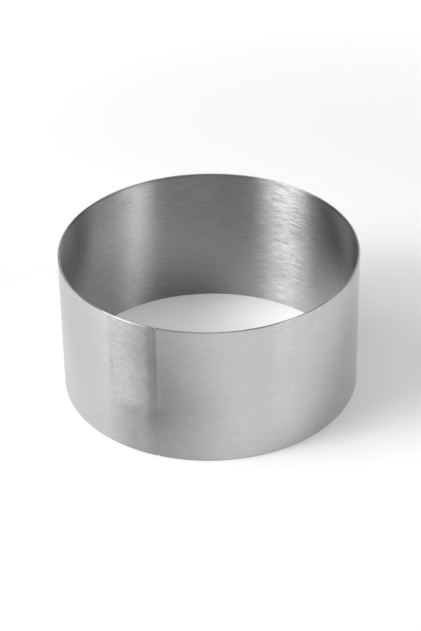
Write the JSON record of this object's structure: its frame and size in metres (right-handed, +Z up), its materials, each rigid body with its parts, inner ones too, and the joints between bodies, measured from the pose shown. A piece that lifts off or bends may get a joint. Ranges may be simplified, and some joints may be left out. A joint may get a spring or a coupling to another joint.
{
  "type": "food ring",
  "caption": "Thin-walled open stainless ring for shaping and plating food, rolled from strip and closed by an upright weld.",
  "frame": {"origin": "centre of the lower rim, on the surface the ring stands on", "axes": "+Z up along the ring's axis; the weld faces -Y"},
  "size_m": [0.09, 0.09, 0.045],
  "materials": {
    "band_steel": "brushed round the ring, satin",
    "weld_steel": "dressed flush, slightly darker than the strip"
  },
  "bodies": {
    "root": {"ring_band": "band_steel", "weld_seam": "weld_steel"}
  },
  "joints": []
}
